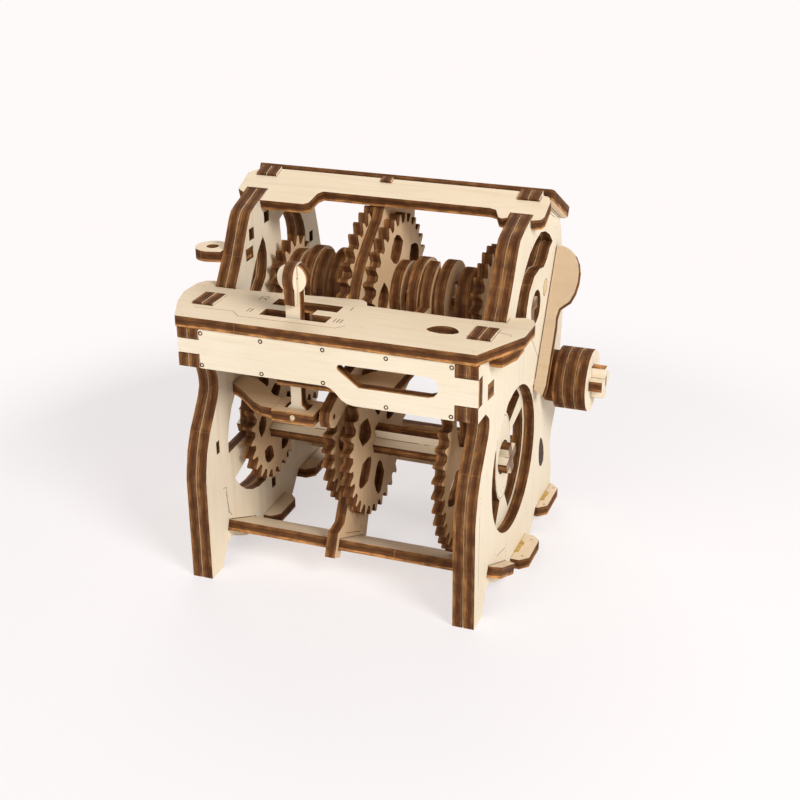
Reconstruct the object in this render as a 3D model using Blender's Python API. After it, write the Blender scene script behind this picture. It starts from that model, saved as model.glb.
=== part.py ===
"""Wooden gearbox model: cut plates, cross section shafts, gears, sliding sleeves and a gate lever."""

import math

import bmesh
import bpy
from mathutils import Matrix, Vector
from mathutils.geometry import delaunay_2d_cdt

# Sheet and fits, in millimetres
PLY = 4.0
SEAM = 0.3
RUNNING = 0.06

# Stations along X: the two side frames and the middle frame
FRAME_OUT = 55.0
FRAME_IN = 47.0
MIDDLE_LEFT = -6.0
MIDDLE_RIGHT = -2.0

# Shafts: (Y, Z) of the centre lines, and the cross section
MODULE = 1.8
LAY = (46.0, 45.5)
OUT_TO_LAY_DIRECTION = math.radians(64.54)
CROSS_HALF = 6.0
ARM_HALF = 2.0
CROSS_RADIUS = math.hypot(CROSS_HALF, ARM_HALF)
ADDENDUM = 1.44
DEDENDUM = 2.0
TOOTH_HALF = 1.02
TOOTH_SLOPE = 0.34

# Tooth counts
LAY_1, OUT_1 = 27, 35
LAY_2, OUT_2 = 31, 31
LAY_3, OUT_3 = 40, 22
LAY_R, IDLER, OUT_R = 23, 24, 17
PINION = 12

# Left faces of the gears
X_R = -44.0
X_1 = -10.3
X_2 = -1.7
X_3 = 36.0

# Clutch rings and sleeves on the output shaft
RING_RADIUS = 12.0
RING_3_LONG = 8.0
SLEEVE_RADIUS = 14.0
SLEEVE_HUB = 8.6
DISC = 4.0
GROOVE = 6.6
FACE_GAP = 3.25

# Gate lever
LEVER_X, LEVER_Y = -15.5, 14.0
LEVER_PIVOT_Z = 67.5
LEVER_HEAD_Z = 118.0
LEVER_HEAD = 5.4
SELECTOR_23_Z = 80.0
SELECTOR_1R_Z = 86.0
PIN = 1.0

# Shift plate, front panel and top plates
PLATE_Z = 99.84
PANEL_Y = 1.1
BEAM_EDGE = (61.6, 133.1)
BEAM_TILT = math.radians(17.5)
ROOF_EDGE = (78.5, 138.0)
ROOF_TILT = math.radians(-28.4)
ROOF_LONG = 31.0

# Hand knob and side paddle
KNOB_START = 56.0
KNOB_SMALL, KNOB_LARGE = 10.0, 12.0
KNOB_DISCS = 3
SHAFT_END = 78.0
PADDLE_X = 55.4
PADDLE_TILT = math.radians(30)
PADDLE_FOOT = (72.5, 65.0)

LIGHT = (0.80, 0.66, 0.45)
DARK = (0.42, 0.24, 0.12)

made = []


def at_angle(centre, radius, angle):
    return (centre[0] + radius * math.cos(angle), centre[1] + radius * math.sin(angle))


def pitch_radius(teeth):
    return MODULE * teeth / 2


OUT = at_angle(LAY, pitch_radius(LAY_1) + pitch_radius(OUT_1), OUT_TO_LAY_DIRECTION)


def third_corner(p, q, from_p, from_q):
    """The corner of a triangle on the side of larger Y and smaller Z."""
    dy, dz = q[0] - p[0], q[1] - p[1]
    far = math.hypot(dy, dz)
    along = (far * far + from_p * from_p - from_q * from_q) / (2 * far)
    off = math.sqrt(from_p * from_p - along * along)
    return (p[0] + (along * dy + off * dz) / far, p[1] + (along * dz - off * dy) / far)


IDLE = third_corner(
    LAY, OUT, pitch_radius(LAY_R) + pitch_radius(IDLER), pitch_radius(IDLER) + pitch_radius(OUT_R)
)
KNOB_DIRECTION = math.radians(19.52)
KNOB = at_angle(LAY, pitch_radius(PINION) + pitch_radius(LAY_3), KNOB_DIRECTION)


def circle(centre, radius, sides=32, start=0.0):
    return [at_angle(centre, radius, start + 2 * math.pi * i / sides) for i in range(sides)]


def arc(centre, radius, start, end, steps):
    """Points from start to end, in degrees."""
    span = (end - start) / steps
    return [at_angle(centre, radius, math.radians(start + span * i)) for i in range(steps + 1)]


def cross(centre, half, arm, turn=0.0):
    """The outline of a cross section shaft or of its bore."""
    corner = [(half, -arm), (half, arm), (arm, arm)]
    points = []
    for quarter in range(4):
        angle = turn + quarter * math.pi / 2
        c, s = math.cos(angle), math.sin(angle)
        for y, z in corner:
            points.append((centre[0] + c * y - s * z, centre[1] + s * y + c * z))
    return points


def gear_outline(centre, teeth, tooth_at):
    """A gear's rim with a tooth centred at the angle tooth_at."""
    pitch = pitch_radius(teeth)
    tip, root = pitch + ADDENDUM, pitch - DEDENDUM
    step = 2 * math.pi / teeth
    tip_half = (TOOTH_HALF - TOOTH_SLOPE * ADDENDUM) / tip
    root_half = min((TOOTH_HALF + TOOTH_SLOPE * DEDENDUM) / root, 0.36 * step)
    points = []
    for i in range(teeth):
        angle = tooth_at + i * step
        points.append(at_angle(centre, root, angle - root_half))
        points.append(at_angle(centre, tip, angle - tip_half))
        points.append(at_angle(centre, tip, angle + tip_half))
        points.append(at_angle(centre, root, angle + root_half))
    return points


def meshing(first_tooth, first_teeth, first, second_teeth, second):
    """The angle of one tooth of the second gear, so that it meshes with the first."""
    line = math.atan2(second[1] - first[1], second[0] - first[0])
    late = (line - first_tooth) % (2 * math.pi / first_teeth)
    gap = line + math.pi + late * first_teeth / second_teeth
    return gap + math.pi / second_teeth


def lens(centre, reach, width, angle, radial):
    """A pointed oval hole at a distance from the centre, its length across the radius."""
    c, s = math.cos(angle), math.sin(angle)
    shape = []
    steps = 5
    for i in range(steps):
        t = -1 + 2 * i / steps
        shape.append((width * (1 - t * t), t * radial))
    for i in range(steps):
        t = 1 - 2 * i / steps
        shape.append((-width * (1 - t * t), t * radial))
    points = []
    for u, v in shape:
        y, z = reach + u, v
        points.append((centre[0] + c * y - s * z, centre[1] + s * y + c * z))
    return points


def area(points):
    total = 0.0
    for (y0, z0), (y1, z1) in zip(points, points[1:] + points[:1]):
        total += y0 * z1 - y1 * z0
    return total / 2


def turned(points, clockwise=False):
    wrong = area(points) > 0 if clockwise else area(points) < 0
    return list(reversed(points)) if wrong else list(points)


def prism(outline, holes, low, high, place):
    """A closed plate: the outline with its holes, from low to high along the third direction of place."""
    loops = [turned(outline)] + [turned(hole, True) for hole in holes]
    flat = []
    edges = []
    for loop in loops:
        first = len(flat)
        count = len(loop)
        flat += [Vector(point) for point in loop]
        edges += [(first + i, first + (i + 1) % count) for i in range(count)]
    points, _, faces, _, _, _ = delaunay_2d_cdt(flat, edges, [], 2, 1e-5)
    kept = [face for face in faces if inside(points, face, loops)]
    built = bmesh.new()
    bottom = [built.verts.new(place(p[0], p[1], low)) for p in points]
    top = [built.verts.new(place(p[0], p[1], high)) for p in points]
    rim = {}
    for face in kept:
        built.faces.new([bottom[i] for i in reversed(face)])
        built.faces.new([top[i] for i in face])
        for i, j in zip(face, list(face[1:]) + [face[0]]):
            rim[(i, j)] = True
    for i, j in rim:
        if (j, i) not in rim:
            built.faces.new((bottom[i], bottom[j], top[j], top[i]))
    loose = [v for v in built.verts if not v.link_faces]
    bmesh.ops.delete(built, geom=loose, context="VERTS")
    bmesh.ops.recalc_face_normals(built, faces=built.faces)
    if built.calc_volume(signed=True) < 0:
        bmesh.ops.reverse_faces(built, faces=built.faces)
    bmesh.ops.triangulate(built, faces=built.faces)
    return built


def inside(points, face, loops):
    y = sum(points[i][0] for i in face) / len(face)
    z = sum(points[i][1] for i in face) / len(face)
    within = False
    for loop in loops:
        for (y0, z0), (y1, z1) in zip(loop, loop[1:] + loop[:1]):
            if (z0 > z) != (z1 > z) and y < (y1 - y0) * (z - z0) / (z1 - z0) + y0:
                within = not within
    return within


def across_x(u, v, w):
    """Outline in (Y, Z), thickness along X."""
    return (w / 1000, u / 1000, v / 1000)


def across_y(u, v, w):
    """Outline in (X, Z), thickness along Y."""
    return (u / 1000, w / 1000, v / 1000)


def across_z(u, v, w):
    """Outline in (X, Y), thickness along Z."""
    return (u / 1000, v / 1000, w / 1000)


def tilted(edge, tilt):
    """Outline in (X, distance up the slope), thickness along the slope's normal."""
    c, s = math.cos(tilt), math.sin(tilt)

    def place(u, v, w):
        return (u / 1000, (edge[0] + v * c - w * s) / 1000, (edge[1] + v * s + w * c) / 1000)

    return place


materials = {}


def wood(name, colour):
    if name not in materials:
        material = bpy.data.materials.new(name)
        material.use_nodes = True
        shader = material.node_tree.nodes["Principled BSDF"]
        shader.inputs["Base Color"].default_value = (*colour, 1.0)
        shader.inputs["Roughness"].default_value = 0.62
        shader.inputs["Metallic"].default_value = 0.0
        materials[name] = material
    return materials[name]


def add(name, built, colour=LIGHT, axis=None):
    """One node from a mesh. With an axis, its origin lies on it."""
    mesh = bpy.data.meshes.new(name)
    if axis is not None:
        bmesh.ops.translate(built, verts=built.verts, vec=-Vector(axis) / 1000)
    built.to_mesh(mesh)
    built.free()
    mesh.materials.append(wood(name, colour))
    obj = bpy.data.objects.new(name, mesh)
    if axis is not None:
        obj.location = Vector(axis) / 1000
    bpy.context.scene.collection.objects.link(obj)
    made.append(obj)
    return obj


def joined(first, others, operation):
    """The mesh of first after a union with, or a cut by, the other meshes."""
    for other in others:
        objects = []
        for built in (first, other):
            mesh = bpy.data.meshes.new("step")
            built.to_mesh(mesh)
            built.free()
            objects.append(bpy.data.objects.new("step", mesh))
            bpy.context.scene.collection.objects.link(objects[-1])
        modifier = objects[0].modifiers.new("step", "BOOLEAN")
        modifier.solver = "EXACT"
        modifier.operation = operation
        modifier.object = objects[1]
        graph = bpy.context.evaluated_depsgraph_get()
        first = bmesh.new()
        first.from_mesh(objects[0].evaluated_get(graph).to_mesh())
        for obj in objects:
            mesh = obj.data
            bpy.data.objects.remove(obj)
            bpy.data.meshes.remove(mesh)
        bmesh.ops.remove_doubles(first, verts=first.verts, dist=1e-7)
        bmesh.ops.dissolve_degenerate(first, edges=first.edges, dist=1e-7)
        bmesh.ops.triangulate(first, faces=first.faces)
    return first


def plate_x(name, outline, holes, low, high, colour=LIGHT, axis=None):
    return add(name, prism(outline, holes, low, high, across_x), colour, axis)


def rect(low, high):
    return [(low[0], low[1]), (high[0], low[1]), (high[0], high[1]), (low[0], high[1])]


def on_slope(edge, tilt, along, up):
    c, s = math.cos(tilt), math.sin(tilt)
    return (edge[0] + along * c - up * s, edge[1] + along * s + up * c)


for old in list(bpy.data.objects):
    bpy.data.objects.remove(old)

# Side frames
BAR_EDGE = (16.0, 17.0)
BAR_TILT = math.radians(-24.4)
BAR_LONG = 24.0
FRONT_PAD = (45.0, 65.0, 0.0)
REAR_PAD = (80.0, 102.0, 4.0)
PAD_IN = 41.0
FRONT_PAD_OUT, REAR_PAD_OUT = 61.5, 59.0
HUMP = (13.4, 24.1)
EAR_SLOT = (41.6, 47.0, 111.3)
EAR_FRONT = 37.0


def frame_outline(prong_low, tab_low, tab_high):
    """A side frame in (Y, Z), with the notch that takes the front panel's tab."""
    leg = [(8.5, 0), (0, 0), (0, 40), (0.6, 44), (2.2, 51), (5.4, 58), (9.7, 64), (12.7, 68.5)]
    leg += [(14.1, 72), (13.9, 75.5), (11.5, prong_low - 1.5), (9.5, prong_low), (1, prong_low)]
    notch = PANEL_Y + PLY + SEAM
    front = [(1, tab_low - SEAM), (notch, tab_low - SEAM), (notch, tab_high + SEAM), (1, tab_high + SEAM)]
    under = PLATE_Z - SEAM
    front += [(1, under), (HUMP[0], under), (HUMP[0], PLATE_Z + PLY + 0.7)]
    front += [(HUMP[1], PLATE_Z + PLY + 0.7), (HUMP[1], under), (31.8, under), (31.8, 104.6)]
    front += [(37.9, 113.5), (44.4, 125.2), (46.6, 128.0), (49.5, 129.3)]
    beam = PLY + SEAM
    top = [on_slope(BEAM_EDGE, BEAM_TILT, 0, 0), on_slope(BEAM_EDGE, BEAM_TILT, 0, -beam)]
    top += [on_slope(BEAM_EDGE, BEAM_TILT, 8.8, -beam), on_slope(BEAM_EDGE, BEAM_TILT, 8.8, 0.8)]
    top += [on_slope(BEAM_EDGE, BEAM_TILT, 14.4, 0.8)]
    top += [on_slope(ROOF_EDGE, ROOF_TILT, 0, -beam), on_slope(ROOF_EDGE, ROOF_TILT, 28.0, -beam)]
    rear = [(104.5, 113.5), (106.8, 106.2), (110, 94), (111.6, 84), (111.2, 75), (109.8, 66), (107.4, 46)]
    rear += [(105.0, 39), (100.5, 33), (99.0, 28), (100.2, 21), (102.3, 15)]
    rear += [(102.3, REAR_PAD[2] + PLY + SEAM), (79.5, REAR_PAD[2] + PLY + SEAM), (72.5, 0)]
    feet = [(FRONT_PAD[1] + SEAM, 0), (FRONT_PAD[1] + SEAM, PLY + SEAM)]
    feet += [(FRONT_PAD[0] - SEAM, PLY + SEAM), (FRONT_PAD[0] - SEAM, 0.4)]
    feet += [(36, 0.8), (27, 4.2), (17.5, 9.2), (14.4, 8.9), (12.3, 5.7), (10.2, 2.5)]
    return leg + front + top + rear + feet


def bar_slot():
    half = SEAM
    low, high = -half, BAR_LONG + half
    corners = [(low, -PLY - half), (high, -PLY - half), (high, half), (low, half)]
    return [on_slope(BAR_EDGE, BAR_TILT, along, up) for along, up in corners]


def crescent(centre, radius, start, end, hub, hub_radius, hub_start, hub_end):
    return arc(centre, radius, start, end, 9) + arc(hub, hub_radius, hub_start, hub_end, 5)


def round_fit(centre, sides=24):
    """A round bore that a cross section shaft turns in."""
    return circle(centre, (CROSS_RADIUS + RUNNING) / math.cos(math.pi / sides), sides)


EYE = [(42.9, 99.6), (47, 106.1), (51.1, 111.8), (55.9, 116.5), (57.6, 113.5), (58.6, 109)]
EYE += [(58.2, 104.5), (56.6, 100), (52, 96), (46.5, 95.5), (43, 97)]
SMALL_SLOTS = [((57.6, 120.9), (61.8, 125.2)), ((44.6, 118.0), (48.6, 122.4)), ((98.2, 101), (101.6, 105.4))]
LOW_SLOTS = [((9.3, 47.2), (11.7, 52.2)), ((67, 18.2), (70.2, 22.6)), ((53.6, 11.6), (57, 16.0))]
WHEEL_WINDOW = 27.5
HUB_LONG, HUB_WIDE = 17.5, 9.5


def spoke_windows(centre, radius, sides):
    """Openings of an inner ply, between its spokes and round its long hub."""
    windows = []
    for low, high in sides:
        outer = arc(centre, radius, low, high, max(3, (high - low) // 12))
        inner = []
        for i in range(6):
            t = math.radians(high + (low - high) * i / 5)
            inner.append((centre[0] + HUB_WIDE * math.cos(t), centre[1] + HUB_LONG * math.sin(t)))
        windows.append(outer + inner)
    return windows


left_holes = [round_fit(OUT), EYE, bar_slot()]
left_holes += [rect(low, high) for low, high in SMALL_SLOTS + LOW_SLOTS]
left_holes.append(crescent((78.5, 104.5), 16.0, -20, 118, OUT, 12.5, 80, 10))
left_holes.append(circle(IDLE, 4.0 + SEAM, 20))
ear_low = (EAR_SLOT[0] - SEAM, EAR_SLOT[2] - SEAM)
ear_high = (EAR_SLOT[1] + SEAM, EAR_SLOT[2] + PLY + SEAM)
left_holes.append(rect(ear_low, ear_high))

LEFT_PANEL_TAB = (90.2, 95.5)
RIGHT_PANEL_TAB = (84.9, 94.7)
left_outline = frame_outline(85.0, *LEFT_PANEL_TAB)
right_outline = frame_outline(79.2, *RIGHT_PANEL_TAB)
half_seam = SEAM / 2
frame_middle = (FRAME_OUT + FRAME_IN) / 2
left_wheel = [circle(LAY, WHEEL_WINDOW, 40)]
plate_x("left_frame_outer", left_outline, left_holes + left_wheel, -FRAME_OUT, -frame_middle - half_seam)
left_spokes = [round_fit(LAY)] + spoke_windows(LAY, WHEEL_WINDOW, [(134, 184), (211, 275)])
plate_x("left_frame_inner", left_outline, left_holes + left_spokes, -frame_middle + half_seam, -FRAME_IN)

UPPER_WINDOW = [(42.6, 101.7), (48.1, 110), (53.9, 115.4), (59.7, 119.6), (67.5, 122.2), (74, 123.2)]
UPPER_WINDOW += [(80.5, 121.6), (86.5, 118.6), (91.3, 114.6), (87.4, 113.3), (83.8, 109.9), (79.6, 108.2)]
UPPER_WINDOW += [(73.5, 109.4), (66.5, 108.6), (60.5, 104.4), (57.8, 99.0), (57.2, 95.8), (50, 98.6)]
PEG = (82.8, 99.3)
PEG_RADIUS = 3.0
PADDLE_HOLE = circle(PADDLE_FOOT, (2.0 + RUNNING) / math.cos(math.pi / 12), 12)
right_common = [round_fit(KNOB), UPPER_WINDOW, bar_slot(), PADDLE_HOLE, circle(PEG, PEG_RADIUS + SEAM, 14)]
outer_holes = right_common + [circle(LAY, WHEEL_WINDOW, 40), round_fit(OUT)]
plate_x("right_frame_outer", right_outline, outer_holes, frame_middle + half_seam, FRAME_OUT)


inner_holes = right_common + [round_fit(LAY), round_fit(OUT)]
inner_holes += spoke_windows(LAY, WHEEL_WINDOW - 1.5, [(-72, 22), (38, 72), (108, 142), (158, 252)])
plate_x("right_frame_inner", right_outline, inner_holes, FRAME_IN, frame_middle - half_seam)

# Middle frame
beam_gap = PLY + SEAM
middle = [(21, 21), (25, 28), (29, 36), (30.5, 43), (33, 53.5), (35.0, 63), (34.5, 68), (31, 68.5)]
middle += [(17, 63.8), (14, 63.2), (11, 64.4), (9.7, 67.5), (10.8, 70.4), (14, 72), (27, 77.2), (37, 78.6)]
middle += [(38.2, 90)]
middle += [(39.5, 102.5), (41.8, 107), (46.8, 113.5), (55, 120), (62.5, 125.2)]
middle += [on_slope(BEAM_EDGE, BEAM_TILT, 4.0, -beam_gap), on_slope(BEAM_EDGE, BEAM_TILT, 11.5, -beam_gap)]
middle += [on_slope(BEAM_EDGE, BEAM_TILT, 11.5, 0.8), on_slope(BEAM_EDGE, BEAM_TILT, 14.4, 0.8)]
middle += [on_slope(ROOF_EDGE, ROOF_TILT, 0, -beam_gap), on_slope(ROOF_EDGE, ROOF_TILT, 20.0, -beam_gap)]
middle += [(98.4, 119), (97.4, 109), (98, 82), (101, 70), (101, 56), (93, 50), (72, 42), (57, 34), (47, 25)]
middle += [(43.6, 19.5), (45.4, 14), (42, 4.8), (38.9, 5.0)]
hook = [(BAR_LONG + SEAM, SEAM), (-SEAM, SEAM), (-SEAM, -beam_gap), (3.0, -beam_gap)]
hook += [(3.0, -7.0), (-2.5, -7.0)]
middle += [on_slope(BAR_EDGE, BAR_TILT, along, up) for along, up in hook + [(-2.5, 2.2)]]
trunnion_hole = circle((LEVER_Y, LEVER_PIVOT_Z), (PIN + RUNNING) / math.cos(math.pi / 12), 12)
middle_holes = [round_fit(LAY), round_fit(OUT), round_fit(KNOB), trunnion_hole]
plate_x("middle_frame", middle, middle_holes, MIDDLE_LEFT, MIDDLE_RIGHT)

# Front panel
panel = [(-FRAME_IN + SEAM, 85), (0.5, 85), (2.4, 84.4), (4.2, 83), (6.3, 80.7), (8.2, 79.6), (10.6, 79.1)]
panel += [(FRAME_IN - SEAM, 79.1), (FRAME_IN - SEAM, RIGHT_PANEL_TAB[0]), (FRAME_OUT, RIGHT_PANEL_TAB[0])]
panel += [(FRAME_OUT, RIGHT_PANEL_TAB[1]), (FRAME_IN - SEAM, RIGHT_PANEL_TAB[1])]
panel += [(FRAME_IN - SEAM, PLATE_Z - SEAM), (-FRAME_IN + SEAM, PLATE_Z - SEAM)]
panel += [(-FRAME_IN + SEAM, LEFT_PANEL_TAB[1]), (-FRAME_OUT, LEFT_PANEL_TAB[1])]
panel += [(-FRAME_OUT, LEFT_PANEL_TAB[0]), (-FRAME_IN + SEAM, LEFT_PANEL_TAB[0])]
window = [(5.2, 91.6), (4.9, 92.6), (5.4, 93.4), (6.6, 93.6), (37.6, 93.6), (39.6, 92.9), (40.9, 91.4)]
window += [(41.2, 89.7), (40.7, 88), (39.5, 86.7), (37.6, 86.1), (12.6, 86.0)]
add("front_panel", prism(panel, [window], PANEL_Y, PANEL_Y + PLY, across_y))

# Shift plate with the gate of the lever
plate = [(-55.2, 0.6), (-61, 13.5), (-63.7, 23.6), (-63.2, 33), (-61.4, 36.2), (-58, 37.2)]
plate += [(-FRAME_OUT - SEAM, 37), (-FRAME_OUT - SEAM, 31.5), (-FRAME_IN + SEAM, 31.5), (-34.6, 32.6)]
plate += [(0.6, 36.2), (2.8, 34.6), (4.4, 31.2), (38.8, 30.6), (FRAME_IN - SEAM, 31)]
plate += [(FRAME_OUT + SEAM, 31.3), (FRAME_OUT + SEAM, 36.5), (60, 38), (63.4, 36.6), (64.8, 33)]
plate += [(64.6, 21.1), (54.2, 0.6)]
GATE_LOW, GATE_HIGH = LEVER_X - 12.4, LEVER_X + 12.4
ROW_FRONT, ROW_BACK = 14.0, 24.6
ROW_HALF = 3.0
CROSS_GATE = 5.0
gate = [(GATE_LOW, ROW_FRONT - ROW_HALF), (GATE_HIGH, ROW_FRONT - ROW_HALF)]
gate += [(GATE_HIGH, ROW_FRONT + ROW_HALF)]
gate += [(LEVER_X + CROSS_GATE, ROW_FRONT + ROW_HALF), (LEVER_X + CROSS_GATE, ROW_BACK - ROW_HALF)]
gate += [(GATE_HIGH, ROW_BACK - ROW_HALF), (GATE_HIGH, ROW_BACK + ROW_HALF), (GATE_LOW, ROW_BACK + ROW_HALF)]
gate += [(GATE_LOW, ROW_BACK - ROW_HALF), (LEVER_X - CROSS_GATE, ROW_BACK - ROW_HALF)]
gate += [(LEVER_X - CROSS_GATE, ROW_FRONT + ROW_HALF), (GATE_LOW, ROW_FRONT + ROW_HALF)]
moon = arc((37.0, 16.0), 5.9, 10, 170, 10) + [(33.0, 15.4), (37, 14.6), (41, 15.4)]
plate_holes = [gate, moon]
for side in (-1, 1):
    low, high = sorted((side * (FRAME_IN - SEAM), side * (FRAME_OUT + SEAM)))
    plate_holes.append(rect((low, HUMP[0] - SEAM), (high, HUMP[1] + SEAM)))
add("shift_plate", prism(plate, plate_holes, PLATE_Z, PLATE_Z + PLY, across_z))

# Top beam and rear roof plate
beam_front = [(-FRAME_OUT - SEAM, -3.4), (-FRAME_OUT - SEAM, SEAM), (-FRAME_IN + SEAM, SEAM)]
beam_front += [(-FRAME_IN + SEAM, -7.5), (-29.5, -7.3), (-27.8, -6), (-26.8, 0), (-25.2, 1.8), (38.9, 1.8)]
beam_front += [(41.4, 1.0), (43.4, -3.2), (44.8, -3.8), (FRAME_IN - SEAM, -3.0), (FRAME_IN - SEAM, SEAM)]
beam_front += [(FRAME_OUT + SEAM, SEAM), (FRAME_OUT + SEAM, -3.4), (58.6, -2.4), (59.4, -0.6), (59, 9.6)]
beam_back = [(57.6, 12), (FRAME_OUT + SEAM, 12.6), (FRAME_OUT + SEAM, 8.5), (FRAME_IN - SEAM, 8.5)]
beam_back += [(FRAME_IN - SEAM, 13.9), (MIDDLE_RIGHT + SEAM, 14.0), (MIDDLE_RIGHT + SEAM, 11.2)]
beam_back += [(MIDDLE_LEFT - SEAM, 11.2), (MIDDLE_LEFT - SEAM, 14.0), (-FRAME_IN + SEAM, 13.9)]
beam_back += [(-FRAME_IN + SEAM, 8.5), (-FRAME_OUT - SEAM, 8.5), (-FRAME_OUT - SEAM, 12.6), (-57.6, 11.2)]
beam_back += [(-59, 9.4), (-58.2, -1.6)]
add("top_beam", prism(beam_front + beam_back, [], -PLY, 0, tilted(BEAM_EDGE, BEAM_TILT)))
roof = [(-57.4, 0), (57.4, 0), (58, 1.5), (58, ROOF_LONG - 3), (56, ROOF_LONG), (-56, ROOF_LONG)]
roof += [(-58, ROOF_LONG - 3), (-58, 1.5)]
add("rear_roof_plate", prism(roof, [], -PLY, 0, tilted(ROOF_EDGE, ROOF_TILT)))

# Bars, feet and the ear
bar = [(-FRAME_OUT - 3, 1.5), (-FRAME_OUT - 1.5, 0), (FRAME_OUT + 1.5, 0), (FRAME_OUT + 4.5, 2.5)]
bar += [(FRAME_OUT + 4.5, BAR_LONG - 3), (FRAME_OUT + 2, BAR_LONG), (-FRAME_OUT - 1.5, BAR_LONG)]
bar += [(-FRAME_OUT - 3, BAR_LONG - 1.5)]
add("bottom_bar", prism(bar, [], -PLY, 0, tilted(BAR_EDGE, BAR_TILT)))
inside_half = FRAME_IN - SEAM
rear_tie = [(-inside_half, 12.5), (inside_half, 12.5), (inside_half, 29.5), (-inside_half, 29.5)]
add("rear_bar", prism(rear_tie, [], 93.0, 93.0 + PLY, across_y))
shelf = [(-inside_half, 84.0), (inside_half, 84.0), (inside_half, 93.0 - SEAM), (-inside_half, 93.0 - SEAM)]
add("rear_shelf", prism(shelf, [], 23.0, 23.0 + PLY, across_z))


def pad(name, side, outer, low, high, floor):
    cut = 3.0
    shape = [(PAD_IN, low + cut), (PAD_IN + cut, low), (outer - cut, low), (outer, low + cut)]
    shape += [(outer, high - cut), (outer - cut, high), (PAD_IN + cut, high), (PAD_IN, high - cut)]
    shape = [(side * x, y) for x, y in shape]
    add(name, prism(shape, [], floor, floor + PLY, across_z))


for side, word in ((-1, "left"), (1, "right")):
    pad("front_pad_" + word, side, FRONT_PAD_OUT, *FRONT_PAD)
    pad("rear_pad_" + word, side, REAR_PAD_OUT, *REAR_PAD)

EAR_CENTRE = (-61.0, 42.3)
EAR_RADIUS = 6.4
ear = [(-FRAME_OUT - SEAM, EAR_SLOT[0]), (-FRAME_IN - 0.5, EAR_SLOT[0]), (-FRAME_IN - 0.5, EAR_SLOT[1])]
ear += [(-FRAME_OUT - SEAM, EAR_SLOT[1])] + arc(EAR_CENTRE, EAR_RADIUS, 80, 270, 14)
ear += [(-FRAME_OUT - SEAM, EAR_FRONT)]
add("ear_plate", prism(ear, [circle(EAR_CENTRE, 2.3, 20)], EAR_SLOT[2], EAR_SLOT[2] + PLY, across_z))
wing = [(FRAME_OUT + SEAM, 12), (59.5, 12), (62.3, 20), (62.3, 29), (59, 33), (FRAME_OUT + SEAM, 33)]
add("wing_support", prism(wing, [], PLATE_Z - SEAM - PLY, PLATE_Z - SEAM, across_z))
plate_x("frame_peg", circle(PEG, PEG_RADIUS, 14), [], 43.5, FRAME_OUT + 0.1)

# Layshaft and its gears
lay_turn = math.radians(19.4)
lay_axis = (0, *LAY)
shoulders = prism(cross(LAY, CROSS_HALF, ARM_HALF, lay_turn), [], -54.0, 54.0, across_x)
add("layshaft", shoulders, LIGHT, lay_axis)
fixed_bore = SEAM
toward_out = OUT_TO_LAY_DIRECTION
toward_idle = math.atan2(IDLE[1] - LAY[1], IDLE[0] - LAY[0])


def lightening(centre, teeth, bore, count, turn=0.0):
    """Pointed oval holes between a gear's hub and its rim, where there is room for them."""
    rim = pitch_radius(teeth) - DEDENDUM - 2.5
    inner = bore + 3.0
    half = (rim - inner) / 2
    if half < 1.5:
        return []
    reach = (rim + inner) / 2
    length = min(0.62 * math.pi * reach / count, 9.0)
    return [lens(centre, reach, half, turn + 2 * math.pi * i / count, length) for i in range(count)]


def gear(name, centre, teeth, left, tooth_at, bore, bore_radius, count, axis, turn=0.0, wide=PLY):
    holes = [bore] + lightening(centre, teeth, bore_radius, count, turn)
    outline = gear_outline(centre, teeth, tooth_at)
    return plate_x(name, outline, holes, left, left + wide, LIGHT, axis)


tight = cross(LAY, CROSS_HALF + fixed_bore, ARM_HALF + fixed_bore, lay_turn)
gear("lay_gear_reverse", LAY, LAY_R, X_R, toward_idle, tight, CROSS_RADIUS, 5, lay_axis, 0.3)
gear("lay_gear_1", LAY, LAY_1, X_1, toward_out, tight, CROSS_RADIUS, 5, lay_axis, 0.3)
gear("lay_gear_2", LAY, LAY_2, X_2, toward_out, tight, CROSS_RADIUS, 6, lay_axis, 0.5)
gear("lay_gear_3", LAY, LAY_3, X_3, toward_out, tight, CROSS_RADIUS, 6, lay_axis, 0.2)

# Output shaft, its four free gears and their clutch rings
out_axis = (0, *OUT)
add("output_shaft", prism(cross(OUT, CROSS_HALF, ARM_HALF), [], -54.0, 54.0, across_x), LIGHT, out_axis)
free = round_fit(OUT)


def dog_ring(name, left, wide):
    """A ring beside a free gear, with a plain face for the sleeve to press on."""
    plate_x(name, circle(OUT, RING_RADIUS, 28), [free], left, left + wide, LIGHT, out_axis)


gear_1_tooth = meshing(toward_out, LAY_1, LAY, OUT_1, OUT)
gear_2_tooth = meshing(toward_out, LAY_2, LAY, OUT_2, OUT)
gear_3_tooth = meshing(toward_out, LAY_3, LAY, OUT_3, OUT)
idler_tooth = meshing(toward_idle, LAY_R, LAY, IDLER, IDLE)
gear_r_tooth = meshing(idler_tooth, IDLER, IDLE, OUT_R, OUT)
gear("gear_1", OUT, OUT_1, X_1, gear_1_tooth, free, RING_RADIUS - 2.5, 6, out_axis, 0.2)
gear("gear_2", OUT, OUT_2, X_2, gear_2_tooth, free, RING_RADIUS - 3.0, 5, out_axis, 0.5)
gear("gear_3", OUT, OUT_3, X_3, gear_3_tooth, free, RING_RADIUS, 5, out_axis)
gear("reverse_gear", OUT, OUT_R, X_R, gear_r_tooth, free, RING_RADIUS, 5, out_axis)
dog_ring("dog_ring_reverse", X_R + PLY + SEAM, DISC)
dog_ring("dog_ring_1", X_1 - SEAM - DISC, DISC)
dog_ring("dog_ring_2", X_2 + PLY + SEAM, DISC)
dog_ring("dog_ring_3", X_3 - SEAM - RING_3_LONG, RING_3_LONG)

# Sleeves: two discs and the grooved hub between them
keyed = cross(OUT, CROSS_HALF + RUNNING, ARM_HALF + RUNNING)


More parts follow.
